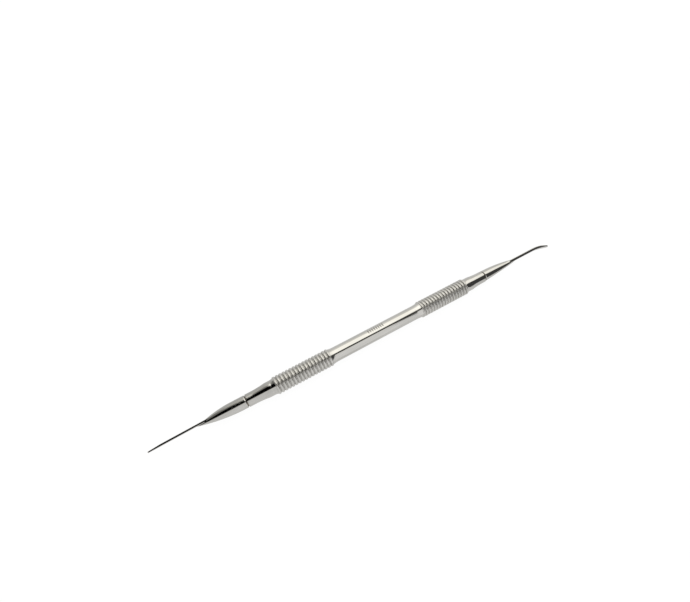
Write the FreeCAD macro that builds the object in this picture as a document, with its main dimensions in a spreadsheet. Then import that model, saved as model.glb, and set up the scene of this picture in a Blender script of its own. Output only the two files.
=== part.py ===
import FreeCAD, Part
import math
import os
import Sketcher

# A double-ended cuticle pusher, in millimetres.  The tool's long axis is X and its middle is the
# origin.  The straight blade points along -X and the bent blade along +X.  Both blades stand on
# edge: they are thin along Y and wide along Z, and the bent one turns towards -Y.

DIMENSIONS = {
    # Whole tool
    "overall_length": 150.0,      # tip to tip
    "straight_seam_position": 45.4,  # middle of the tool to the seam of the straight end
    "bent_seam_position": 44.6,      # the same to the seam of the bent end
    "seam_gap": 0.2,              # width of the filler metal in the seam
    "filler_diameter": 3.28,      # outside of the filler metal, below the lips of the seam
    # Handle
    "barrel_length": 34.5,        # between the two grips, flares included
    "barrel_diameter": 4.74,
    "inner_flare_length": 2.2,    # concave run-up from the barrel to a grip
    "flare_diameter": 5.2,        # where a flare meets a grip
    "ring_count": 17,             # rings on one grip
    "ring_pitch": 1.13,
    "ring_diameter": 5.64,        # over the crests
    "ring_land": 0.3,             # straight part of each crest
    "ring_shoulder": 0.3,         # radius of the round on each side of a groove
    "outer_flare_length": 1.2,    # concave run-down from a grip to its collar
    "collar_length": 1.5,         # even stretch outside the outer flare, as thick as the barrel
    "taper_length": 4.8,          # concave run-down from a collar to an end of the handle
    "end_diameter": 4.04,
    "end_chamfer": 0.08,
    "socket_diameter": 2.62,
    "socket_depth": 8.0,
    "socket_chamfer": 0.15,
    "socket_drill_angle": 118.0,  # included angle of the drill point
    # Working ends
    "spigot_diameter": 2.6,
    "spigot_length": 7.5,
    "spigot_chamfer": 0.3,
    "nose_diameter": 3.92,
    "nose_lip_radius": 0.27,      # round where a nose meets its seam
    "nose_end_position": 60.8,    # middle of the tool to where a nose has sunk into its blade
    "nose_tip_diameter": 0.12,
    "blade_root_depth": 6.4,      # how far a blade runs back inside its nose
    "blade_edge_round": 0.08,
    "root_width": 1.9,            # blade inside its nose
    "neck_width": 1.5,            # narrowest place of a blade
    "neck_run": 8.0,              # from the root to the neck
    # Straight end
    "straight_nose_run": 4.0,     # even stretch of the nose, before the ogive
    "straight_thickness": 0.66,
    "straight_tip_thickness": 0.44,
    "straight_tip_width": 1.8,
    "straight_root_offset": 0.61, # blade's middle beside the tool's axis, at its root
    "straight_tip_offset": 0.29,  # the same at its tip
    "bevel_length": 3.8,          # ground bevel at the tip
    "straight_relief_length": 13.9,  # ground facet on the nose, up to the nose's end
    "straight_relief_start": 1.99,   # facet's distance from the axis where it starts
    "straight_relief_end": -0.17,    # the same where the nose ends, negative past the axis
    "straight_relief_radius": 58.5,  # how round the facet is along the tool
    # Bent end
    "bent_nose_run": 0.5,
    "bent_thickness": 1.0,
    "bent_tip_thickness": 0.44,
    "bent_offset": 0.17,
    "spade_width": 2.4,           # widest place of the blade
    "spade_length": 6.8,          # bent part, measured along the tool's axis
    "bend_angle": 19.8,
    "bend_radius": 15.0,
    "bent_relief_length": 16.5,   # flat facet, from behind the seam
    "bent_relief_start": 1.86,
    "bent_relief_end": 0.38,
}

OVERCUT = 0.3        # how far a cutting profile reaches past the metal it removes
VOLUME_STEP = 1e-4   # the least a feature must change its body's volume, in cubic millimetres
SHORT_RUN = 0.05     # an edge that reaches less than this along X lies across the tool

doc = FreeCAD.newDocument("cuticle_pusher")
sheet = doc.addObject("Spreadsheet::Sheet", "Dims")
for row, (alias, number) in enumerate(DIMENSIONS.items(), start=1):
    sheet.set(f"A{row}", alias)
    sheet.set(f"B{row}", str(number))
    sheet.setAlias(f"B{row}", alias)
doc.recompute()

# Lengths that follow from the driving dimensions, as expressions.  Radii end in _RADIUS, places
# along the axis end in _X.
END_RADIUS = "Dims.end_diameter / 2"
NOSE_RADIUS = "Dims.nose_diameter / 2"
BARREL_RADIUS = "Dims.barrel_diameter / 2"
FLARE_RADIUS = "Dims.flare_diameter / 2"
RING_RADIUS = "Dims.ring_diameter / 2"
SOCKET_RADIUS = "Dims.socket_diameter / 2"
SPIGOT_RADIUS = "Dims.spigot_diameter / 2"
STRAIGHT_HANDLE_END_X = "(Dims.straight_seam_position - Dims.seam_gap / 2)"
BENT_HANDLE_END_X = "(Dims.bent_seam_position - Dims.seam_gap / 2)"
NOSE_END_X = "Dims.nose_end_position"
BLADE_ROOT_X = f"({NOSE_END_X} - Dims.blade_root_depth)"
NECK_X = f"({BLADE_ROOT_X} + Dims.neck_run)"
TIP_X = "(Dims.overall_length / 2)"
BLANK_END_X = f"({TIP_X} + {OVERCUT})"
FLARE_X = "(Dims.barrel_length / 2 - Dims.inner_flare_length)"
GRIP_START_X = "(Dims.barrel_length / 2)"
END_SHOULDER = f"({RING_RADIUS} - {FLARE_RADIUS})"
FIRST_CREST_X = f"({GRIP_START_X} + {END_SHOULDER})"
LAST_CREST_X = f"({FIRST_CREST_X} + (Dims.ring_count - 1) * Dims.ring_pitch + Dims.ring_land)"
GRIP_END_X = f"({LAST_CREST_X} + {END_SHOULDER})"
COLLAR_X = f"({GRIP_END_X} + Dims.outer_flare_length)"
TAPER_START_X = f"({COLLAR_X} + Dims.collar_length)"
TAPER_END_X = f"({TAPER_START_X} + Dims.taper_length)"


def value(expression):
    """The expression's number, in millimetres or degrees."""
    return float(sheet.evalExpression(expression))


def tangent_arc_radius(run, rise):
    """Radius of an arc that starts along its run and has climbed by its rise at the end."""
    return f"(({run}) ^ 2 + ({rise}) ^ 2) / (2 * ({rise}))"


def origin_feature(body, role):
    """One of the body's own origin planes or axes."""
    return next(feature for feature in body.Origin.OriginFeatures if feature.Role == role)


def new_body(label):
    body = doc.addObject("PartDesign::Body", label)
    body.Label = label
    return body


def new_sketch(body, name, role):
    sketch = body.newObject("Sketcher::SketchObject", name)
    sketch.AttachmentSupport = (origin_feature(body, role), [""])
    sketch.MapMode = "FlatFace"
    doc.recompute()
    return sketch


def arc_between(start, end, radius, turn):
    """The arc of this radius from start to end that turns "left" or "right"."""
    chord = end.sub(start)
    middle = start.add(end).multiply(0.5)
    left_normal = FreeCAD.Vector(-chord.y, chord.x, 0).normalize()
    side = 1 if turn == "left" else -1
    sagitta_side = math.sqrt(max(radius ** 2 - (chord.Length / 2) ** 2, 0.0))
    centre = middle.add(left_normal.multiply(side * sagitta_side))
    angles = [math.atan2(point.y - centre.y, point.x - centre.x) for point in (start, end)]
    if turn == "right":
        angles.reverse()
    if angles[1] < angles[0]:
        angles[1] += 2 * math.pi
    circle = Part.Circle(centre, FreeCAD.Vector(0, 0, 1), radius)
    return Part.ArcOfCircle(circle, *angles)


def bind(sketch, kind, *where, expression):
    """Add a dimension to the sketch and tie it to an expression."""
    number = value(expression)
    index = sketch.addConstraint(Sketcher.Constraint(kind, *where, number))
    sketch.setExpression(f"Constraints[{index}]", expression)


def pin_corner(sketch, edge, end, x, y):
    """Tie one corner to its x and y, or to an axis where the coordinate is zero."""
    if x == "0":
        sketch.addConstraint(Sketcher.Constraint("PointOnObject", edge, end, -2))
    else:
        bind(sketch, "DistanceX", -1, 1, edge, end, expression=x)
    if y == "0":
        sketch.addConstraint(Sketcher.Constraint("PointOnObject", edge, end, -1))
    else:
        bind(sketch, "DistanceY", -1, 1, edge, end, expression=y)


def draw_outline(sketch, corners):
    """Draw a closed outline.  A corner is (x, y), or (x, y, radius, turn) if an arc leaves it."""
    points = [FreeCAD.Vector(value(corner[0]), value(corner[1]), 0) for corner in corners]
    ends = []
    for number, corner in enumerate(corners):
        start, end = points[number], points[(number + 1) % len(points)]
        if len(corner) == 2:
            edge = sketch.addGeometry(Part.LineSegment(start, end))
            ends.append((edge, 1, 2))
            continue
        radius, turn = corner[2:]
        edge = sketch.addGeometry(arc_between(start, end, value(radius), turn))
        ends.append((edge, 1, 2) if turn == "left" else (edge, 2, 1))
        bind(sketch, "Radius", edge, expression=radius)
    for number, (edge, start, end) in enumerate(ends):
        next_edge, next_start, _ = ends[(number + 1) % len(ends)]
        sketch.addConstraint(Sketcher.Constraint("Coincident", edge, end, next_edge, next_start))
        pin_corner(sketch, edge, start, *corners[number][:2])


def add_feature(body, kind, name, sketch, **settings):
    """Add a sketch-based feature, and stop if it left the body's volume as it was."""
    before = body.Shape.Volume if body.Tip else 0.0
    feature = body.newObject(kind, name)
    feature.Profile = sketch
    for setting, content in settings.items():
        setattr(feature, setting, content)
    body.Tip = feature
    doc.recompute()
    if abs(feature.Shape.Volume - before) < VOLUME_STEP:
        raise RuntimeError(f"{body.Label}: {name} changed nothing")
    return feature


def revolve(body, kind, name, corners):
    """Turn an outline in the XY plane about the tool's axis, to add or to cut."""
    sketch = new_sketch(body, f"{name}Outline", "XY_Plane")
    draw_outline(sketch, corners)
    return add_feature(body, kind, name, sketch, ReferenceAxis=(sketch, ["H_Axis"]), Angle=360.0)


def build_handle():
    """One turned bar: a smooth barrel, then a flare, a ringed grip and a taper towards each end."""
    body = new_body("handle")
    rise = f"{FLARE_RADIUS} - {BARREL_RADIUS}"
    inner_radius = tangent_arc_radius("Dims.inner_flare_length", rise)
    outer_radius = tangent_arc_radius("Dims.outer_flare_length", rise)
    taper_radius = tangent_arc_radius("Dims.taper_length", f"{BARREL_RADIUS} - {END_RADIUS}")
    revolve(body, "PartDesign::Revolution", "HalfBar", [
        ("0", "0"),
        (BENT_HANDLE_END_X, "0"),
        (BENT_HANDLE_END_X, f"{END_RADIUS} - Dims.end_chamfer"),
        (f"{BENT_HANDLE_END_X} - Dims.end_chamfer", END_RADIUS),
        (TAPER_END_X, END_RADIUS, taper_radius, "right"),
        (TAPER_START_X, BARREL_RADIUS),
        (COLLAR_X, BARREL_RADIUS, outer_radius, "right"),
        (GRIP_END_X, FLARE_RADIUS, END_SHOULDER, "left"),
        (LAST_CREST_X, RING_RADIUS),
        (FIRST_CREST_X, RING_RADIUS, END_SHOULDER, "left"),
        (GRIP_START_X, FLARE_RADIUS, inner_radius, "right"),
        (FLARE_X, BARREL_RADIUS),
        ("0", BARREL_RADIUS),
    ])
    cut_rings(body)
    mirror_half(body)
    lengthen_straight_side(body)
    cut_socket(body, "StraightSocket", -1, STRAIGHT_HANDLE_END_X)
    cut_socket(body, "BentSocket", 1, BENT_HANDLE_END_X)
    return body


def cut_rings(body):
    """Cut the round-shouldered grooves between the rings of the +X grip."""
    middle = f"({FIRST_CREST_X} + (Dims.ring_pitch + Dims.ring_land) / 2)"
    half_mouth = "(Dims.ring_pitch - Dims.ring_land) / 2"
    half_floor = f"({half_mouth} - Dims.ring_shoulder)"
    floor = f"{RING_RADIUS} - Dims.ring_shoulder"
    above = f"{RING_RADIUS} + {OVERCUT}"
    groove = revolve(body, "PartDesign::Groove", "RingGroove", [
        (f"{middle} - {half_mouth}", above),
        (f"{middle} - {half_mouth}", RING_RADIUS, "Dims.ring_shoulder", "right"),
        (f"{middle} - {half_floor}", floor),
        (f"{middle} + {half_floor}", floor, "Dims.ring_shoulder", "right"),
        (f"{middle} + {half_mouth}", RING_RADIUS),
        (f"{middle} + {half_mouth}", above),
    ])
    pattern = body.newObject("PartDesign::LinearPattern", "RingGrooves")
    pattern.Originals = [groove]
    pattern.Direction = (groove.Profile[0], ["H_Axis"])
    pattern.setExpression("Length", "(Dims.ring_count - 2) * Dims.ring_pitch")
    pattern.setExpression("Occurrences", "Dims.ring_count - 1")
    body.Tip = pattern
    doc.recompute()


def lengthen_straight_side(body):
    """Carry the bar on at -X, where its end lies further out than at +X."""
    revolve(body, "PartDesign::Revolution", "StraightSideEnd", [
        (f"-{TAPER_END_X}", "0"),
        (f"-{TAPER_END_X}", END_RADIUS),
        (f"Dims.end_chamfer - {STRAIGHT_HANDLE_END_X}", END_RADIUS),
        (f"-{STRAIGHT_HANDLE_END_X}", f"{END_RADIUS} - Dims.end_chamfer"),
        (f"-{STRAIGHT_HANDLE_END_X}", "0"),
    ])


def cut_socket(body, name, side, handle_end):
    """Drill the blind socket that takes a working end's spigot; side is the end's sign along X."""
    bottom = f"({handle_end} - Dims.socket_depth)"
    drill_point = f"{SOCKET_RADIUS} / tan(Dims.socket_drill_angle * 1 deg / 2)"
    revolve(body, "PartDesign::Groove", name, [
        (f"{side} * ({bottom} - {drill_point})", "0"),
        (f"{side} * ({handle_end} + {OVERCUT})", "0"),
        (f"{side} * ({handle_end} + {OVERCUT})", f"{SOCKET_RADIUS} + Dims.socket_chamfer"),
        (f"{side} * {handle_end}", f"{SOCKET_RADIUS} + Dims.socket_chamfer"),
        (f"{side} * ({handle_end} - Dims.socket_chamfer)", SOCKET_RADIUS),
        (f"{side} * {bottom}", SOCKET_RADIUS),
    ])


def mirror_half(body):
    """Mirror everything modelled at +X to -X."""
    mirrored = body.newObject("PartDesign::Mirrored", "OtherHalf")
    mirrored.TransformMode = "Whole shape"
    mirrored.MirrorPlane = (origin_feature(body, "YZ_Plane"), [""])
    body.Tip = mirrored
    doc.recompute()


def pad_blade(body, side_outline, width):
    """Extrude a blade's side outline to both sides of the XY plane, with some width to trim off."""
    sketch = new_sketch(body, "BladeSideOutline", "XY_Plane")
    draw_outline(sketch, side_outline)
    pad = add_feature(body, "PartDesign::Pad", "Blade", sketch, SideType="Symmetric")
    pad.setExpression("Length", f"{width} + {OVERCUT}")
    doc.recompute()


def trim_sides(body, width):
    """Cut a blade's sides, which curve in from the root to the neck and then widen evenly."""
    sketch = new_sketch(body, "BladePlanOutline", "XZ_Plane")
    left = f"{BLADE_ROOT_X} - 2 * {OVERCUT}"
    right = f"({BLANK_END_X} + {OVERCUT})"
    half_height = f"{width} / 2 + {OVERCUT}"
    draw_outline(sketch, [
        (left, f"-({half_height})"),
        (f"{right} + {OVERCUT}", f"-({half_height})"),
        (f"{right} + {OVERCUT}", half_height),
        (left, half_height),
    ])
    half_root = "Dims.root_width / 2"
    half_neck = "Dims.neck_width / 2"
    half_tip = f"{width} / 2"
    widening = f"({half_tip} - {half_neck}) / ({TIP_X} - {half_tip} - {NECK_X})"
    half_end = f"({half_neck} + {widening} * ({right} - {NECK_X}))"
    side_radius = tangent_arc_radius("Dims.neck_run", f"{half_root} - {half_neck}")
    draw_outline(sketch, [
        (f"{BLADE_ROOT_X} - {OVERCUT}", f"-{half_root}"),
        (BLADE_ROOT_X, f"-{half_root}", side_radius, "right"),
        (NECK_X, f"-{half_neck}"),
        (right, f"-{half_end}"),
        (right, half_end),
        (NECK_X, half_neck, side_radius, "right"),
        (BLADE_ROOT_X, half_root),
        (f"{BLADE_ROOT_X} - {OVERCUT}", half_root),
    ])
    add_feature(body, "PartDesign::Pocket", "SideTrim", sketch, Type="ThroughAll", SideType="Symmetric")


def break_edges(body):
    """Round the edges that run along a blade's sides."""
    trimmed = body.Tip
    names = [
        f"Edge{number}"
        for number, edge in enumerate(trimmed.Shape.Edges, start=1)
        if edge.BoundBox.XLength > SHORT_RUN
    ]
    fillet = body.newObject("PartDesign::Fillet", "BladeEdges")
    fillet.Base = (trimmed, names)
    fillet.setExpression("Radius", "Dims.blade_edge_round")
    body.Tip = fillet
    doc.recompute()


def round_tip(body, width):
    """Cut a blade's tip to a half circle as wide as the blade."""
    sketch = new_sketch(body, "TipOutline", "XZ_Plane")
    half_tip = f"{width} / 2"
    round_start_x = f"{TIP_X} - {half_tip}"
    clear = f"{half_tip} + {OVERCUT}"
    right = f"{BLANK_END_X} + {OVERCUT}"
    draw_outline(sketch, [
        (round_start_x, f"-{half_tip}", half_tip, "left"),
        (TIP_X, "0", half_tip, "left"),
        (round_start_x, half_tip),
        (round_start_x, clear),
        (right, clear),
        (right, f"-({clear})"),
        (round_start_x, f"-({clear})"),
    ])
    add_feature(body, "PartDesign::Pocket", "TipRound", sketch, Type="ThroughAll", SideType="Symmetric")


def shape_plan(body, width):
    """Give a blade its outline as seen square to its flat."""
    trim_sides(body, width)
    break_edges(body)
    round_tip(body, width)


def turn_nose(body, seam, even_run):
    """Turn the spigot and the ogive nose, which closes on to the blade."""
    nose_start = f"({seam} + Dims.seam_gap / 2)"
    spigot_end = f"({seam} - Dims.seam_gap / 2 - Dims.spigot_length)"
    lip_x = f"({nose_start} + Dims.nose_lip_radius)"
    ogive_x = f"({lip_x} + {even_run})"
    tip_radius = "Dims.nose_tip_diameter / 2"
    ogive_radius = tangent_arc_radius(f"{NOSE_END_X} - {ogive_x}", f"{NOSE_RADIUS} - {tip_radius}")
    revolve(body, "PartDesign::Revolution", "Nose", [
        (spigot_end, "0"),
        (NOSE_END_X, "0"),
        (NOSE_END_X, tip_radius, ogive_radius, "left"),
        (ogive_x, NOSE_RADIUS),
        (lip_x, NOSE_RADIUS, "Dims.nose_lip_radius", "left"),
        (nose_start, f"{NOSE_RADIUS} - Dims.nose_lip_radius"),
        (nose_start, SPIGOT_RADIUS),
        (f"{spigot_end} + Dims.spigot_chamfer", SPIGOT_RADIUS),
        (spigot_end, f"{SPIGOT_RADIUS} - Dims.spigot_chamfer"),
    ])


def relieve_nose(body, side, length, start_height, end_height, curve=()):
    """Grind a facet on one side of the nose, down to the blade; a curve is (radius, turn)."""
    start_x = f"({NOSE_END_X} - {length})"
    start_y, end_y = f"{side} * {start_height}", f"{side} * {end_height}"
    outside = f"{side} * ({NOSE_RADIUS} + {OVERCUT})"
    sketch = new_sketch(body, "ReliefOutline", "XY_Plane")
    draw_outline(sketch, [
        (start_x, start_y, *curve),
        (NOSE_END_X, end_y),
        (NOSE_END_X, outside),
        (start_x, outside),
    ])
    add_feature(body, "PartDesign::Pocket", "Relief", sketch, Type="ThroughAll", SideType="Symmetric")


def build_straight_end():
    """Spigot, nose and straight blade with a ground bevel, built along +X and turned to -X."""
    body = new_body("straight_working_end")
    half = "Dims.straight_thickness / 2"
    slope = f"(Dims.straight_root_offset - Dims.straight_tip_offset) / ({TIP_X} - {BLADE_ROOT_X})"
    bevel_x = f"({TIP_X} - Dims.bevel_length)"
    root_y = "-Dims.straight_root_offset"
    bevel_y = f"(-Dims.straight_tip_offset - Dims.bevel_length * {slope})"
    blank_end_y = f"(-Dims.straight_tip_offset + {OVERCUT} * {slope})"
    pad_blade(body, [
        (BLADE_ROOT_X, f"{root_y} - {half}"),
        (bevel_x, f"{bevel_y} - {half}"),
        (BLANK_END_X, f"{blank_end_y} + {half} - Dims.straight_tip_thickness"),
        (BLANK_END_X, f"{blank_end_y} + {half}"),
        (BLADE_ROOT_X, f"{root_y} + {half}"),
    ], "Dims.root_width")
    shape_plan(body, "Dims.straight_tip_width")
    turn_nose(body, "Dims.straight_seam_position", "Dims.straight_nose_run")
    relieve_nose(body, 1, "Dims.straight_relief_length", "Dims.straight_relief_start",
                 "Dims.straight_relief_end", ("Dims.straight_relief_radius", "right"))
    body.Placement = FreeCAD.Placement(FreeCAD.Vector(), FreeCAD.Rotation(FreeCAD.Vector(0, 0, 1), 180))
    return body


def build_bent_end():
    """Spigot, nose and a blade whose rounded spade turns towards -Y."""
    body = new_body("bent_working_end")
    angle = "(Dims.bend_angle * 1 deg)"
    bend_x = f"({TIP_X} - Dims.spade_length)"
    centre_y = "(Dims.bent_offset - Dims.bend_radius)"
    inner_radius = "(Dims.bend_radius - Dims.bent_thickness / 2)"
    outer_radius = "(Dims.bend_radius + Dims.bent_thickness / 2)"
    straight_run = f"({BLANK_END_X} - {bend_x} - Dims.bend_radius * sin({angle}))"
    tip_y = f"({centre_y} + Dims.bend_radius * cos({angle}) - {straight_run} * tan({angle}))"
    half_tip = "Dims.bent_tip_thickness / 2"
    pad_blade(body, [
        (BLADE_ROOT_X, f"{centre_y} + {inner_radius}"),
        (bend_x, f"{centre_y} + {inner_radius}", inner_radius, "right"),
        (f"{bend_x} + {inner_radius} * sin({angle})", f"{centre_y} + {inner_radius} * cos({angle})"),
        (f"{BLANK_END_X} - {half_tip} * sin({angle})", f"{tip_y} - {half_tip} * cos({angle})"),
        (f"{BLANK_END_X} + {half_tip} * sin({angle})", f"{tip_y} + {half_tip} * cos({angle})"),
        (f"{bend_x} + {outer_radius} * sin({angle})", f"{centre_y} + {outer_radius} * cos({angle})",
         outer_radius, "left"),
        (bend_x, f"{centre_y} + {outer_radius}"),
        (BLADE_ROOT_X, f"{centre_y} + {outer_radius}"),
    ], "Dims.spade_width")
    shape_plan(body, "Dims.spade_width")
    turn_nose(body, "Dims.bent_seam_position", "Dims.bent_nose_run")
    relieve_nose(body, -1, "Dims.bent_relief_length", "Dims.bent_relief_start", "Dims.bent_relief_end")
    return body


def build_filler_ring(label, seam):
    """The washer of filler metal between the handle's end and a nose, built at +X."""
    body = new_body(label)
    inner_x = f"{seam} - Dims.seam_gap / 2"
    outer_x = f"{seam} + Dims.seam_gap / 2"
    revolve(body, "PartDesign::Revolution", "Ring", [
        (inner_x, SOCKET_RADIUS),
        (outer_x, SOCKET_RADIUS),
        (outer_x, "Dims.filler_diameter / 2"),
        (inner_x, "Dims.filler_diameter / 2"),
    ])
    return body


handle = build_handle()
straight_end = build_straight_end()
bent_end = build_bent_end()
bent_ring = build_filler_ring("bent_end_braze_ring", "Dims.bent_seam_position")
straight_ring = build_filler_ring("straight_end_braze_ring", "Dims.straight_seam_position")
straight_ring.Placement = straight_end.Placement
sub_parts = [handle, straight_end, bent_end, straight_ring, bent_ring]
doc.recompute()

for item in doc.Objects:
    if {"Invalid", "Error"} & set(item.State):
        raise RuntimeError(f"{item.Label} is {item.State}")
for sub_part in sub_parts:
    if sub_part.Shape.isNull() or not sub_part.Shape.isValid():
        raise RuntimeError(f"{sub_part.Label} has no valid shape")

os.makedirs("parts", exist_ok=True)
for sub_part in sub_parts:
    sub_part.Shape.exportStep(f"parts/{sub_part.Label}.step")
    box = sub_part.Shape.BoundBox
    print(f"{sub_part.Label}: {sub_part.Shape.Volume:.3f} mm3, {len(sub_part.Shape.Solids)} solid,",
          f"x {box.XMin:.2f} to {box.XMax:.2f}, y {box.YMin:.2f} to {box.YMax:.2f},",
          f"z {box.ZMin:.2f} to {box.ZMax:.2f}")
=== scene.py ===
import math

import bmesh
import bpy
from mathutils import Matrix, Vector


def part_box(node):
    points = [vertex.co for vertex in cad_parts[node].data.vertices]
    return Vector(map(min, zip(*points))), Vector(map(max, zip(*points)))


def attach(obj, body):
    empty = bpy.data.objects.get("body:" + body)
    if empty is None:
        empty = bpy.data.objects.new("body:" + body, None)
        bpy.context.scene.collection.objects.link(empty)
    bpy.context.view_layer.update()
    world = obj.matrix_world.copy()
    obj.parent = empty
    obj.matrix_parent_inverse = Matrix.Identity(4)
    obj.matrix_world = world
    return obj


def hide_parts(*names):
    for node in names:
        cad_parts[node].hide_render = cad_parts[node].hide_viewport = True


# A double-ended cuticle pusher.  The long axis is X, the blades stand on edge in the XZ plane, the
# straight blade points along -X and the bent one along +X.  Shapes are worked out in millimetres
# and written to the meshes in metres.

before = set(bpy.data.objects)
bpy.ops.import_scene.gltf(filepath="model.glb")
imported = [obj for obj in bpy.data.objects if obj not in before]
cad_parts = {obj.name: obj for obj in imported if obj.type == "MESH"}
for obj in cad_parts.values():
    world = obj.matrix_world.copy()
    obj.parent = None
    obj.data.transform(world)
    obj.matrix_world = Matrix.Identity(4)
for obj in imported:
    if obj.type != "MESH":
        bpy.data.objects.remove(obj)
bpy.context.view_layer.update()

MM = 0.001


def low_mm(node):
    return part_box(node)[0] / MM


def high_mm(node):
    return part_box(node)[1] / MM


STRAIGHT, BENT = -1, 1     # the two ends of the tool, as signs along X

# Dimensions read from the frame, in millimetres; places along X are distances from the middle
HANDLE_END = {STRAIGHT: -low_mm("handle").x, BENT: high_mm("handle").x}
NOSE_START = {STRAIGHT: -low_mm("straight_end_braze_ring").x, BENT: high_mm("bent_end_braze_ring").x}
SPIGOT_END = {STRAIGHT: -high_mm("straight_working_end").x, BENT: low_mm("bent_working_end").x}
RING_RADIUS = high_mm("handle").y
FLOOR_Z = low_mm("handle").z
FILLER_RADIUS = high_mm("bent_end_braze_ring").y
NOSE_RADIUS = high_mm("bent_working_end").y
TIP = high_mm("bent_working_end").x

# Handle details, in millimetres
BARREL_RADIUS = 2.37
BARREL_HALF = 17.25
INNER_FLARE_LENGTH = 2.2
OUTER_FLARE_LENGTH = 1.2
FLARE_RADIUS = 2.6
RINGS = 17
RING_PITCH = 1.13
RING_LAND = 0.3
RING_SHOULDER = 0.3
COLLAR_LENGTH = 1.5
TAPER_LENGTH = 4.8
END_RADIUS = 2.02
END_CHAMFER = 0.08
SOCKET_RADIUS = 1.31
SOCKET_DEPTH = 8.0
SOCKET_CHAMFER = 0.15
SOCKET_DRILL_ANGLE = math.radians(118)
FILLER_DIP = 0.03
END_SHOULDER = RING_RADIUS - FLARE_RADIUS
FIRST_CREST = BARREL_HALF + END_SHOULDER
LAST_CREST = FIRST_CREST + (RINGS - 1) * RING_PITCH + RING_LAND
GRIP_END = LAST_CREST + END_SHOULDER

# Working end details, in millimetres
SPIGOT_RADIUS = 1.3
SPIGOT_CHAMFER = 0.3
LIP = 0.27
NOSE_END = 60.8
NOSE_TIP_RADIUS = 0.06
NOSE_EVEN_RUN = {STRAIGHT: 4.0, BENT: 0.5}     # from the lip to where the nose starts to close
FACET_LENGTH = {STRAIGHT: 13.9, BENT: 16.5}    # back from the nose's end
FACET_START = {STRAIGHT: 1.99, BENT: 1.86}     # the facet's distance from the axis at its back
FACET_END = {STRAIGHT: -0.17, BENT: 0.38}      # and at the nose's end
FACET_CROWN = {STRAIGHT: 0.42, BENT: 0.0}      # how far its middle bulges past a straight line
BLADE_ROOT = NOSE_END - 6.4
OFFSET_RUN = 4.0           # before the root, where the section moves over to the blade's middle
NOSE_BLEND = 0.03          # softness of the corner between nose and blade
EDGE_SQUARENESS = 8        # power of the blade's section; a higher one has sharper corners
ROOT_HALF_WIDTH = 0.95
NECK_HALF_WIDTH = 0.75
NECK_RUN = 8.0
STRAIGHT_TIP_HALF_WIDTH = 0.9
STRAIGHT_HALF_THICKNESS = 0.33
STRAIGHT_ROOT_OFFSET = 0.61
STRAIGHT_TIP_OFFSET = 0.29
BEVEL_LENGTH = 3.8
BEVEL_DEPTH = 0.22
BENT_HALF_THICKNESS = 0.5
BENT_OFFSET = 0.17
SPADE_HALF_WIDTH = 1.2
SPADE_LENGTH = 6.8
SPADE_THINNING = 0.56
THINNING_LEAD = 2.5        # how far before the end of the bend the spade starts to thin
BEND_ANGLE = math.radians(19.8)
BEND_RADIUS = 15.0

TURNED_SEGMENTS = 128      # round a turned piece
SECTION_POINTS = 128       # round a working end
ARC_STEPS = 7              # along a small rounding of a profile
FULL_TURN = 2 * math.pi
CREASE_ANGLE = math.radians(40)


# ---------------------------------------------------------------- shapes

def finish_mesh(name, bm):
    """Turn a bmesh in millimetres into a smooth object that keeps edges past the crease angle sharp."""
    bmesh.ops.remove_doubles(bm, verts=bm.verts, dist=1e-5)
    bmesh.ops.recalc_face_normals(bm, faces=bm.faces)
    bmesh.ops.scale(bm, vec=(MM, MM, MM), verts=bm.verts)
    mesh = bpy.data.meshes.new(name)
    bm.to_mesh(mesh)
    bm.free()
    mesh.shade_smooth()
    mesh.set_sharp_from_angle(angle=CREASE_ANGLE)
    piece = bpy.data.objects.new(name, mesh)
    bpy.context.scene.collection.objects.link(piece)
    return piece


def skin(bm, rings, close_loop=False):
    """Bridge equal rings of vertices with quads; a ring of one vertex is a pole."""
    pairs = list(zip(rings, rings[1:]))
    if close_loop:
        pairs.append((rings[-1], rings[0]))
    for first, second in pairs:
        count = max(len(first), len(second))
        for i in range(count):
            j = (i + 1) % count
            if len(first) == 1:
                corners = (first[0], second[j], second[i])
            elif len(second) == 1:
                corners = (first[i], first[j], second[0])
            else:
                corners = (first[i], first[j], second[j], second[i])
            bm.faces.new(corners)


def arc(centre_x, centre_r, radius, start, end):
    """Points on an arc of a turning profile, from one angle to another, in degrees."""
    points = []
    for i in range(ARC_STEPS + 1):
        angle = math.radians(start + (end - start) * i / ARC_STEPS)
        points.append((centre_x + radius * math.cos(angle), centre_r + radius * math.sin(angle)))
    return points


def spaced(start, end, steps):
    """Evenly spaced numbers from start up to, but without, end."""
    return [start + (end - start) * i / steps for i in range(steps)]


def line(start, end, steps):
    """Evenly spaced profile points from start up to, but without, end."""
    return list(zip(spaced(start[0], end[0], steps), spaced(start[1], end[1], steps)))


def concave_run(level_x, level_r, run, rise, steps):
    """Points that leave a level stretch along it and climb with a hollow curve; run has a sign."""
    return [(level_x + run * t, level_r + rise * t * t) for t in (i / steps for i in range(steps + 1))]


def turn(name, profile, close_loop=False):
    """Spin a profile of (x, radius) points about the X axis."""
    bm = bmesh.new()
    rings = []
    for x, radius in profile:
        if radius < 1e-6:
            rings.append([bm.verts.new((x, 0, 0))])
            continue
        angles = spaced(0, FULL_TURN, TURNED_SEGMENTS)
        rings.append([bm.verts.new((x, radius * math.cos(a), radius * math.sin(a))) for a in angles])
    skin(bm, rings, close_loop)
    return finish_mesh(name, bm)


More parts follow.
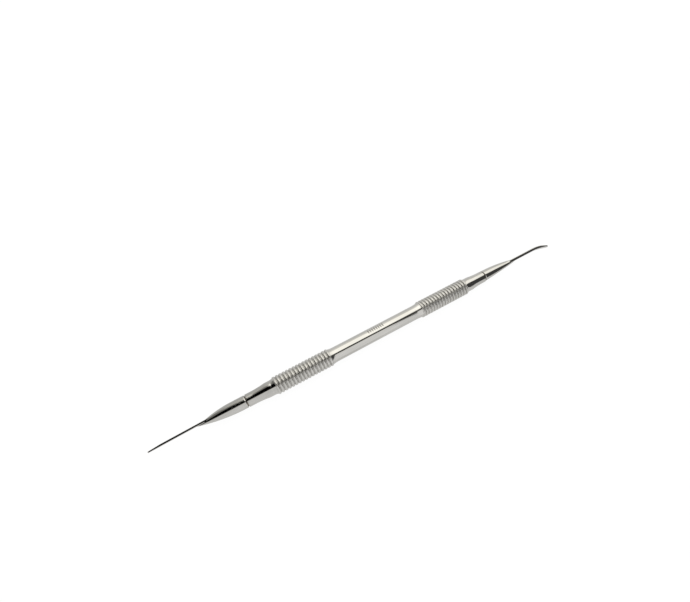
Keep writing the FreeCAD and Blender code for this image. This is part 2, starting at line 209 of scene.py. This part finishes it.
def grip_profile():
    """The rings of a grip, each a flat crest between two quarter rounds, with flares on both sides."""
    floor = RING_RADIUS - RING_SHOULDER
    rise = FLARE_RADIUS - BARREL_RADIUS
    points = concave_run(BARREL_HALF - INNER_FLARE_LENGTH, BARREL_RADIUS, INNER_FLARE_LENGTH, rise, 12)
    points += arc(FIRST_CREST, FLARE_RADIUS, END_SHOULDER, 180, 90)
    for ring in range(RINGS - 1):
        groove_start = FIRST_CREST + ring * RING_PITCH + RING_LAND
        groove_end = groove_start + RING_PITCH - RING_LAND
        points += arc(groove_start, floor, RING_SHOULDER, 90, 0)
        points += arc(groove_end, floor, RING_SHOULDER, 180, 90)
    points += arc(LAST_CREST, FLARE_RADIUS, END_SHOULDER, 90, 0)
    flare_end = GRIP_END + OUTER_FLARE_LENGTH
    points += reversed(concave_run(flare_end, BARREL_RADIUS, -OUTER_FLARE_LENGTH, rise, 12))
    return points


def handle_half_profile(handle_end):
    """The handle's profile from the middle of the barrel to the drill point of one end's socket."""
    taper_end = GRIP_END + OUTER_FLARE_LENGTH + COLLAR_LENGTH + TAPER_LENGTH
    socket_end = handle_end - SOCKET_DEPTH
    drill_point = SOCKET_RADIUS / math.tan(SOCKET_DRILL_ANGLE / 2)
    points = line((0, BARREL_RADIUS), (BARREL_HALF - INNER_FLARE_LENGTH, BARREL_RADIUS), 12)
    points += grip_profile()
    points += reversed(concave_run(taper_end, END_RADIUS, -TAPER_LENGTH, BARREL_RADIUS - END_RADIUS, 16))
    points += [
        (handle_end - END_CHAMFER, END_RADIUS),
        (handle_end, END_RADIUS - END_CHAMFER),
        (handle_end, SOCKET_RADIUS + SOCKET_CHAMFER),
        (handle_end - SOCKET_CHAMFER, SOCKET_RADIUS),
        (socket_end, SOCKET_RADIUS),
        (socket_end - drill_point, 0),
    ]
    return points


def build_handle():
    bent_half = handle_half_profile(HANDLE_END[BENT])
    straight_half = handle_half_profile(HANDLE_END[STRAIGHT])
    profile = [(-x, radius) for x, radius in reversed(straight_half[1:])] + bent_half
    return turn("handle_turned_bar", profile)


def build_filler(name, side):
    """Filler metal in a seam: a washer whose outside is drawn in like a meniscus."""
    start, end = HANDLE_END[side], NOSE_START[side]
    outside = [
        (start + (end - start) * (t + 1) / 2, FILLER_RADIUS - FILLER_DIP * (1 - t * t))
        for t in (i / 4 for i in range(-4, 5))
    ]
    profile = [(start, SOCKET_RADIUS)] + outside + [(end, SOCKET_RADIUS)]
    return turn(name, [(side * x, radius) for x, radius in profile], close_loop=True)


def soft_max(a, b, softness):
    return (a + b + math.sqrt((a - b) ** 2 + softness ** 2)) / 2


def smooth_step(low, high, x):
    t = min(max((x - low) / (high - low), 0.0), 1.0)
    return t * t * (3 - 2 * t)


def nose_radius(x, ogive_start):
    """Radius of a nose, which closes to its tip along a parabola."""
    t = min(max((x - ogive_start) / (NOSE_END - ogive_start), 0.0), 1.0)
    return NOSE_RADIUS - (NOSE_RADIUS - NOSE_TIP_RADIUS) * t * t


def facet_height(side, x):
    """How far a nose's facet on its -Y side lies from the axis; clear of the nose where it has none."""
    t = (x - NOSE_END + FACET_LENGTH[side]) / FACET_LENGTH[side]
    if not 0 <= t <= 1:
        return 2 * NOSE_RADIUS
    straight = FACET_START[side] + (FACET_END[side] - FACET_START[side]) * t
    return straight + FACET_CROWN[side] * 4 * t * (1 - t)


def blade_half_width(x, tip_half_width):
    """Half the blade's width: drawn in from the root to the neck, then widening to a round tip."""
    neck = BLADE_ROOT + NECK_RUN
    round_start = TIP - tip_half_width
    if x < neck:
        t = (neck - x) / NECK_RUN
        return NECK_HALF_WIDTH + (ROOT_HALF_WIDTH - NECK_HALF_WIDTH) * t * t
    if x < round_start:
        t = (x - neck) / (round_start - neck)
        return NECK_HALF_WIDTH + (tip_half_width - NECK_HALF_WIDTH) * t
    return math.sqrt(max(tip_half_width ** 2 - (x - round_start) ** 2, 0.0))


def straight_blade(x):
    """Middle, half thickness and turn of the straight blade at x; its +Y face has a bevel."""
    t = (x - BLADE_ROOT) / (TIP - BLADE_ROOT)
    middle = STRAIGHT_ROOT_OFFSET + (STRAIGHT_TIP_OFFSET - STRAIGHT_ROOT_OFFSET) * t
    thinning = BEVEL_DEPTH * max(x - TIP + BEVEL_LENGTH, 0.0) / BEVEL_LENGTH
    return middle - thinning / 2, STRAIGHT_HALF_THICKNESS - thinning / 2, 0.0


def bent_blade(x):
    """The same for the bent blade, which turns towards -Y round an arc and thins on both faces."""
    bend_start = TIP - SPADE_LENGTH
    arc_end = bend_start + BEND_RADIUS * math.sin(BEND_ANGLE)
    angle = math.asin(max(min(x, arc_end) - bend_start, 0.0) / BEND_RADIUS)
    drop = BEND_RADIUS * (1 - math.cos(angle)) + max(x - arc_end, 0.0) * math.tan(BEND_ANGLE)
    thinning = SPADE_THINNING * smooth_step(arc_end - THINNING_LEAD, TIP, x)
    return BENT_OFFSET - drop, BENT_HALF_THICKNESS - thinning / 2, angle


def to_circle(offset, radius, along_y, along_z):
    """Distance from a point offset along Y to a circle about the axis, in the given direction."""
    reach = radius ** 2 - (offset * along_z) ** 2
    return math.sqrt(reach) - offset * along_y if reach > 0 else 0.0


def to_blade(half_thickness, half_width, along_y, along_z):
    """Distance from a blade's middle to its edge-rounded outline, in the given direction."""
    y_part = abs(along_y / half_thickness) ** EDGE_SQUARENESS
    z_part = abs(along_z / half_width) ** EDGE_SQUARENESS
    return (y_part + z_part) ** (-1 / EDGE_SQUARENESS)


def section(bm, side, x, offset, turned, reach):
    """A closed ring of vertices; reach gives the distance out from the middle in a direction."""
    facet = facet_height(side, x)
    ring = []
    for angle in spaced(0, FULL_TURN, SECTION_POINTS):
        along_y, along_z = math.cos(angle), math.sin(angle)
        distance = reach(along_y, along_z)
        y = max(offset + distance * along_y * math.cos(turned), -facet)
        place = (side * (x + distance * along_y * math.sin(turned)), y, distance * along_z)
        ring.append(bm.verts.new(place))
    return ring


def turned_rings(bm, side):
    """Spigot, the nose's flat end and its rounded lip."""
    places = [
        (SPIGOT_END[side], SPIGOT_RADIUS - SPIGOT_CHAMFER),
        (SPIGOT_END[side] + SPIGOT_CHAMFER, SPIGOT_RADIUS),
        (NOSE_START[side], SPIGOT_RADIUS),
    ]
    places += arc(NOSE_START[side] + LIP, NOSE_RADIUS - LIP, LIP, 180, 90)
    return [
        section(bm, side, x, 0, 0, lambda *_, radius=radius: radius)
        for x, radius in places
    ]


def end_stations(lip_end, tip_half_width):
    """Where the sections of a working end stand, from the lip to the tip."""
    round_start = TIP - tip_half_width
    stations = spaced(lip_end, BLADE_ROOT, 50)[1:]
    stations += spaced(BLADE_ROOT, NOSE_END, 60)
    stations += spaced(NOSE_END, round_start, 90)
    return stations + [round_start + tip_half_width * math.sin(a) for a in spaced(0, math.pi / 2, 16)]


def build_working_end(name, side, blade, tip_half_width):
    """Spigot, ogive nose and blade as one skin; the nose is even for a run past its lip."""
    bm = bmesh.new()
    rings = [[bm.verts.new((side * SPIGOT_END[side], 0, 0))]]
    rings += turned_rings(bm, side)
    lip_end = NOSE_START[side] + LIP
    ogive_start = lip_end + NOSE_EVEN_RUN[side]
    for x in end_stations(lip_end, tip_half_width):
        nose = nose_radius(x, ogive_start) if x < NOSE_END else 0.0
        middle, half_thickness, angle = blade(x)
        middle *= smooth_step(BLADE_ROOT - OFFSET_RUN, BLADE_ROOT, x)
        half_width = blade_half_width(x, tip_half_width)

        def reach(along_y, along_z):
            round_part = to_circle(middle, nose, along_y, along_z)
            if x < BLADE_ROOT:
                return round_part
            flat_part = to_blade(half_thickness, half_width, along_y, along_z)
            return soft_max(round_part, flat_part, NOSE_BLEND) if nose else flat_part

        rings.append(section(bm, side, x, middle, angle, reach))
    skin(bm, rings)
    bm.faces.new(rings[-1])
    return finish_mesh(name, bm)


# ---------------------------------------------------------------- node helpers

def put(tree, socket, content):
    """Link another node's output to a socket, or set the socket to a value."""
    if isinstance(content, bpy.types.NodeSocket):
        tree.links.new(content, socket)
    else:
        socket.default_value = content


def maths(tree, operation, first, second=0.0):
    node = tree.nodes.new("ShaderNodeMath")
    node.operation = operation
    put(tree, node.inputs[0], first)
    put(tree, node.inputs[1], second)
    return node.outputs[0]


def product(tree, first, *others):
    for other in others:
        first = maths(tree, "MULTIPLY", first, other)
    return first


def ramp(tree, value, low, high, start=0.0, end=1.0):
    """A smooth step from start to end while the value runs from low to high."""
    node = tree.nodes.new("ShaderNodeMapRange")
    node.interpolation_type = "SMOOTHSTEP"
    settings = {"Value": value, "From Min": low, "From Max": high, "To Min": start, "To Max": end}
    for name, content in settings.items():
        put(tree, node.inputs[name], content)
    return node.outputs["Result"]


def band(tree, value, low, high, softness):
    """One inside a band of values and zero outside it."""
    rise = ramp(tree, value, low - softness / 2, low + softness / 2)
    fall = ramp(tree, value, high - softness / 2, high + softness / 2, 1.0, 0.0)
    return maths(tree, "MULTIPLY", rise, fall)


def mix(tree, factor, first, second):
    """Blend two numbers."""
    node = tree.nodes.new("ShaderNodeMix")
    node.data_type = "FLOAT"
    put(tree, node.inputs["Factor"], factor)
    put(tree, node.inputs["A"], first)
    put(tree, node.inputs["B"], second)
    return node.outputs["Result"]


def mix_color(tree, factor, first, second):
    """Blend two colours."""
    node = tree.nodes.new("ShaderNodeMix")
    node.data_type = "RGBA"
    color_a, color_b = (socket for socket in node.inputs if socket.type == "RGBA")
    put(tree, node.inputs["Factor"], factor)
    put(tree, color_a, first)
    put(tree, color_b, second)
    return next(socket for socket in node.outputs if socket.type == "RGBA")


def split(tree, vector):
    node = tree.nodes.new("ShaderNodeSeparateXYZ")
    put(tree, node.inputs[0], vector)
    return node.outputs


def noise(tree, place, stretch, detail=3.0):
    """Noise from about 0 to 1 whose cells are 1 / stretch long on each axis."""
    scaled = tree.nodes.new("ShaderNodeVectorMath")
    scaled.operation = "MULTIPLY"
    put(tree, scaled.inputs[0], place)
    put(tree, scaled.inputs[1], stretch)
    node = tree.nodes.new("ShaderNodeTexNoise")
    put(tree, node.inputs["Vector"], scaled.outputs[0])
    put(tree, node.inputs["Scale"], 1.0)
    put(tree, node.inputs["Detail"], detail)
    return node.outputs[0]


def place_in_mm(tree):
    """The shaded point in the tool's own frame, in millimetres."""
    coordinates = tree.nodes.new("ShaderNodeTexCoord")
    scaled = tree.nodes.new("ShaderNodeVectorMath")
    scaled.operation = "SCALE"
    put(tree, scaled.inputs[0], coordinates.outputs["Object"])
    put(tree, scaled.inputs["Scale"], 1 / MM)
    return scaled.outputs[0]


# ---------------------------------------------------------------- materials

def new_material(name):
    material = bpy.data.materials.new(name)
    material.use_nodes = True
    return material, material.node_tree, material.node_tree.nodes["Principled BSDF"]


def add_bump(tree, shader, height, depth_mm):
    """Raise the surface by the height, from 0 to 1, times a depth."""
    bump = tree.nodes.new("ShaderNodeBump")
    put(tree, bump.inputs["Height"], height)
    put(tree, bump.inputs["Distance"], depth_mm * MM)
    put(tree, shader.inputs["Normal"], bump.outputs["Normal"])


def hairlines(tree, place):
    """Sparse fine scratches that cross the tool at a slant."""
    turned = tree.nodes.new("ShaderNodeVectorRotate")
    turned.rotation_type = "EULER_XYZ"
    put(tree, turned.inputs["Vector"], place)
    put(tree, turned.inputs["Rotation"], (0.3, 0.5, 0.9))
    return ramp(tree, noise(tree, turned.outputs[0], (0.5, 14.0, 14.0), 1.0), 0.70, 0.76)


def tick_row(tree, x, y, z):
    """A plain row of short etched ticks along the upper +Y side of the barrel."""
    first, last, pitch = -3.1, 3.0, 0.76
    angle = maths(tree, "ARCTAN2", y, z)
    phase = maths(tree, "FRACT", maths(tree, "DIVIDE", maths(tree, "SUBTRACT", x, first), pitch))
    return product(
        tree,
        band(tree, phase, 0.25, 0.7, 0.12),
        band(tree, x, first, last, 0.05),
        band(tree, angle, math.radians(21), math.radians(52), math.radians(3)),
    )


def polished_steel(name, polish, worn, marked):
    """Bright steel, warm by a shade: smudges, lengthwise polishing marks, scratches and wear.

    polish is the roughness of clean metal and worn that of the ringed grips.  Painted shade darkens the
    grooves, more towards the straight end.
    """
    material, tree, shader = new_material(name)
    place = place_in_mm(tree)
    x, y, z = split(tree, place)
    distance = maths(tree, "ABSOLUTE", x)
    radius = maths(tree, "SQRT", maths(tree, "ADD", product(tree, y, y), product(tree, z, z)))
    smudges = noise(tree, place, (0.12, 0.35, 0.35))
    streaks = noise(tree, place, (0.07, 3.2, 3.2), 4.0)
    turning = noise(tree, place, (9.0, 0.25, 0.25), 2.0)
    scratches = hairlines(tree, place)
    on_grip = band(tree, distance, FIRST_CREST - 0.3, GRIP_END, 0.3)
    below_crest = ramp(tree, radius, RING_RADIUS - RING_SHOULDER, RING_RADIUS - 0.08, 1.0, 0.0)
    in_groove = maths(tree, "MULTIPLY", on_grip, below_crest)
    stain_behind, stain_ahead, stain_softness = 0.22, 0.16, 0.2
    by_seam = maths(
        tree, "ADD",
        band(tree, x, HANDLE_END[BENT] - stain_behind, NOSE_START[BENT] + stain_ahead, stain_softness),
        band(tree, x, -NOSE_START[STRAIGHT] - stain_ahead, stain_behind - HANDLE_END[STRAIGHT],
             stain_softness))

    clean = mix_color(tree, ramp(tree, smudges, 0.3, 0.7), (0.60, 0.59, 0.555, 1), (0.66, 0.648, 0.615, 1))
    streaked = mix_color(tree, ramp(tree, streaks, 0.35, 0.75, 0.0, 0.35), clean, (0.46, 0.452, 0.425, 1))
    # Painted shade: the grip's grooves are darkened in colour, more at the straight end than at the bent
    # one
    painted_groove_shade = ramp(tree, x, -20.0, 20.0, 0.45, 0.1)
    shaded_grooves = mix_color(tree, maths(tree, "MULTIPLY", in_groove, painted_groove_shade), streaked, (0.24, 0.23, 0.205, 1))
    color = mix_color(tree, maths(tree, "MULTIPLY", by_seam, 0.5), shaded_grooves, (0.27, 0.25, 0.22, 1))

    wear = maths(tree, "ADD", worn, ramp(tree, x, -20.0, 20.0, 0.0, 0.08))
    roughness = mix(tree, on_grip, polish, wear)
    roughness = maths(tree, "ADD", roughness, ramp(tree, smudges, 0.35, 0.75, 0.0, 0.07))
    roughness = maths(tree, "ADD", roughness, ramp(tree, streaks, 0.4, 0.8, 0.0, 0.08))
    roughness = maths(tree, "ADD", roughness, product(tree, scratches, 0.12))
    if marked:
        ticks = tick_row(tree, x, y, z)
        color = mix_color(tree, maths(tree, "MULTIPLY", ticks, 0.7), color, (0.12, 0.115, 0.105, 1))
        roughness = maths(tree, "ADD", roughness, product(tree, ticks, 0.25))
    put(tree, shader.inputs["Base Color"], color)
    put(tree, shader.inputs["Metallic"], 1.0)
    put(tree, shader.inputs["Roughness"], roughness)
    relief = maths(tree, "ADD", product(tree, streaks, 0.6), product(tree, turning, 0.4))
    add_bump(tree, shader, maths(tree, "SUBTRACT", relief, product(tree, scratches, 0.5)), 0.0012)
    return material


def brazing_filler(name):
    """Dull filler metal, darkened by heat in patches."""
    material, tree, shader = new_material(name)
    place = place_in_mm(tree)
    patches = noise(tree, place, (2.0, 1.1, 1.1))
    grain = noise(tree, place, (14.0, 14.0, 14.0))
    warm, dark = (0.30, 0.26, 0.20, 1), (0.10, 0.09, 0.08, 1)
    put(tree, shader.inputs["Base Color"], mix_color(tree, ramp(tree, patches, 0.35, 0.65), warm, dark))
    put(tree, shader.inputs["Metallic"], 0.85)
    put(tree, shader.inputs["Roughness"], ramp(tree, grain, 0.2, 0.8, 0.35, 0.6))
    add_bump(tree, shader, grain, 0.01)
    return material


# ---------------------------------------------------------------- the object

handle = build_handle()
straight_end = build_working_end("straight_blade_end", STRAIGHT, straight_blade, STRAIGHT_TIP_HALF_WIDTH)
bent_end = build_working_end("bent_blade_end", BENT, bent_blade, SPADE_HALF_WIDTH)
straight_filler = build_filler("straight_end_filler", STRAIGHT)
bent_filler = build_filler("bent_end_filler", BENT)

handle_steel = polished_steel("polished_handle_steel", 0.06, 0.28, True)
blade_steel = polished_steel("polished_blade_steel", 0.08, 0.08, False)
filler_metal = brazing_filler("brazing_filler_metal")

for piece, node, slot, material in (
    (handle, "handle", "handle_steel", handle_steel),
    (straight_end, "straight_working_end", "blade_steel", blade_steel),
    (bent_end, "bent_working_end", "blade_steel", blade_steel),
    (straight_filler, "straight_end_braze_ring", "braze_filler", filler_metal),
    (bent_filler, "bent_end_braze_ring", "braze_filler", filler_metal),
):
    piece.data.materials.append(material)
    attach(piece, "root")
    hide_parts(node)


# ---------------------------------------------------------------- floor, light and camera

def build_floor():
    """A flat floor, white to the camera and darker in reflections, most of all by the straight end."""
    bm = bmesh.new()
    bmesh.ops.create_grid(bm, x_segments=1, y_segments=1, size=3.0)
    mesh = bpy.data.meshes.new("floor")
    bm.to_mesh(mesh)
    bm.free()
    floor = bpy.data.objects.new("floor", mesh)
    floor.location.z = FLOOR_Z * MM
    bpy.context.scene.collection.objects.link(floor)
    material, tree, shader = new_material("pale_floor")
    seen_directly = tree.nodes.new("ShaderNodeLightPath").outputs["Is Camera Ray"]
    x, y, _ = split(tree, place_in_mm(tree))
    shaded_corner = maths(tree, "MULTIPLY", ramp(tree, x, -30.0, -45.0), ramp(tree, y, 0.0, 6.0))
    mirrored = mix(tree, shaded_corner, 0.68, 0.5)
    put(tree, shader.inputs["Base Color"], (0.1, 0.1, 0.1, 1))
    put(tree, shader.inputs["Roughness"], 0.9)
    put(tree, shader.inputs["Specular IOR Level"], 0.0)
    put(tree, shader.inputs["Emission Color"], (1, 1, 1, 1))
    put(tree, shader.inputs["Emission Strength"], mix(tree, seen_directly, mirrored, 0.94))
    mesh.materials.append(material)


def bank_and_sides(tree, x, degrees, off_left, towards_bend):
    """Pale sides with a bright bank on +Y, both dimmer towards either end of the tool."""
    side_level = mix(tree, off_left, 0.80, 0.95)
    side_level = mix(tree, towards_bend, side_level, 0.80)
    bank_start = ramp(tree, x, -0.09, 0.0)
    bank_level = mix(tree, bank_start, 0.30, mix(tree, towards_bend, 1.6, 1.4))
    return mix(tree, band(tree, degrees, -68.0, -14.0, 10.0), side_level, bank_level)


def shade_on_left(tree, x, degrees, off_left, level):
    """Dims the +Y side: low down on the left, and all of it further towards the straight end."""
    on_left = maths(tree, "SUBTRACT", 1.0, off_left)
    low_down = maths(tree, "MULTIPLY", ramp(tree, degrees, -60.0, -100.0), on_left)
    level = mix(tree, low_down, level, 0.45)
    far_left = maths(tree, "MULTIPLY", ramp(tree, x, -0.1, -0.4), ramp(tree, degrees, 0.0, -40.0))
    return mix(tree, far_left, level, 0.22)


def dark_gap(tree, degrees, off_left, towards_bend, level):
    """A dark gap overhead, wider towards +Y on the left and towards -Y by the bent end."""
    softness = 5.0
    gap_start = mix(tree, off_left, -46.0, -14.0)
    gap_end = mix(tree, towards_bend, 8.0, 64.0)
    past_start = ramp(tree, maths(tree, "SUBTRACT", degrees, gap_start), -softness, softness)
    before_end = ramp(tree, maths(tree, "SUBTRACT", degrees, gap_end), -softness, softness, 1.0, 0.0)
    in_gap = maths(tree, "MULTIPLY", past_start, before_end)
    return mix(tree, in_gap, level, mix(tree, off_left, 0.0, 0.06))


def build_world():
    """Soft studio surroundings, as a brightness and a tint for each direction."""
    world = bpy.data.worlds.new("studio")
    bpy.context.scene.world = world
    world.use_nodes = True
    tree = world.node_tree
    background = tree.nodes["Background"]
    x, y, z = split(tree, tree.nodes.new("ShaderNodeTexCoord").outputs["Generated"])
    # Angle round X from straight up, in degrees, positive towards -Y
    around = maths(tree, "ARCTAN2", maths(tree, "MULTIPLY", y, -1.0), z)
    degrees = maths(tree, "MULTIPLY", around, math.degrees(1))
    off_left = ramp(tree, x, -0.06, 0.06)
    towards_bend = ramp(tree, x, 0.31, 0.50)

    level = bank_and_sides(tree, x, degrees, off_left, towards_bend)
    level = shade_on_left(tree, x, degrees, off_left, level)
    level = dark_gap(tree, degrees, off_left, towards_bend, level)

    warm, cool = (1.0, 0.985, 0.94, 1), (0.99, 0.99, 1.0, 1)
    tint = mix_color(tree, ramp(tree, degrees, -20.0, 40.0), warm, cool)
    seen_directly = tree.nodes.new("ShaderNodeLightPath").outputs["Is Camera Ray"]
    put(tree, background.inputs["Color"], mix_color(tree, seen_directly, tint, (1, 1, 1, 1)))
    put(tree, background.inputs["Strength"], mix(tree, seen_directly, level, 1.0))


def build_lamp():
    """A large soft lamp overhead that lights the floor and is not mirrored in the steel."""
    data = bpy.data.lights.new("soft_lamp", "AREA")
    data.size = 0.8
    data.energy = 5.0
    lamp = bpy.data.objects.new("soft_lamp", data)
    lamp.location = (-0.2, 0.5, 1.2)
    lamp.rotation_euler = (-lamp.location).to_track_quat("-Z", "Y").to_euler()
    lamp.visible_glossy = False
    bpy.context.scene.collection.objects.link(lamp)


def build_camera():
    """Looks down from above the tool's straight half, 17 degrees off straight down."""
    tilt = math.radians(16.85)
    distance = 131.56                      # from the tool's middle, in millimetres
    place = Vector((-math.sin(tilt), 0, math.cos(tilt))) * distance
    aim = Vector((-4.276, 13.898, 0))
    up_angle = math.radians(61.83)         # image up as a direction on the floor, from +X to +Y
    data = bpy.data.cameras.new("camera")
    data.sensor_width = 36.0
    data.lens = 20.87
    data.clip_start = 0.01
    data.clip_end = 50
    backward = (place - aim).normalized()
    right = Vector((math.cos(up_angle), math.sin(up_angle), 0)).cross(backward).normalized()
    matrix = Matrix((right, backward.cross(right), backward)).transposed().to_4x4()
    matrix.translation = place * MM
    camera = bpy.data.objects.new("camera", data)
    camera.matrix_world = matrix
    bpy.context.scene.collection.objects.link(camera)
    bpy.context.scene.camera = camera


build_floor()
build_world()
build_lamp()
build_camera()
bpy.context.scene.view_settings.view_transform = "Standard"
bpy.context.scene.view_settings.look = "None"
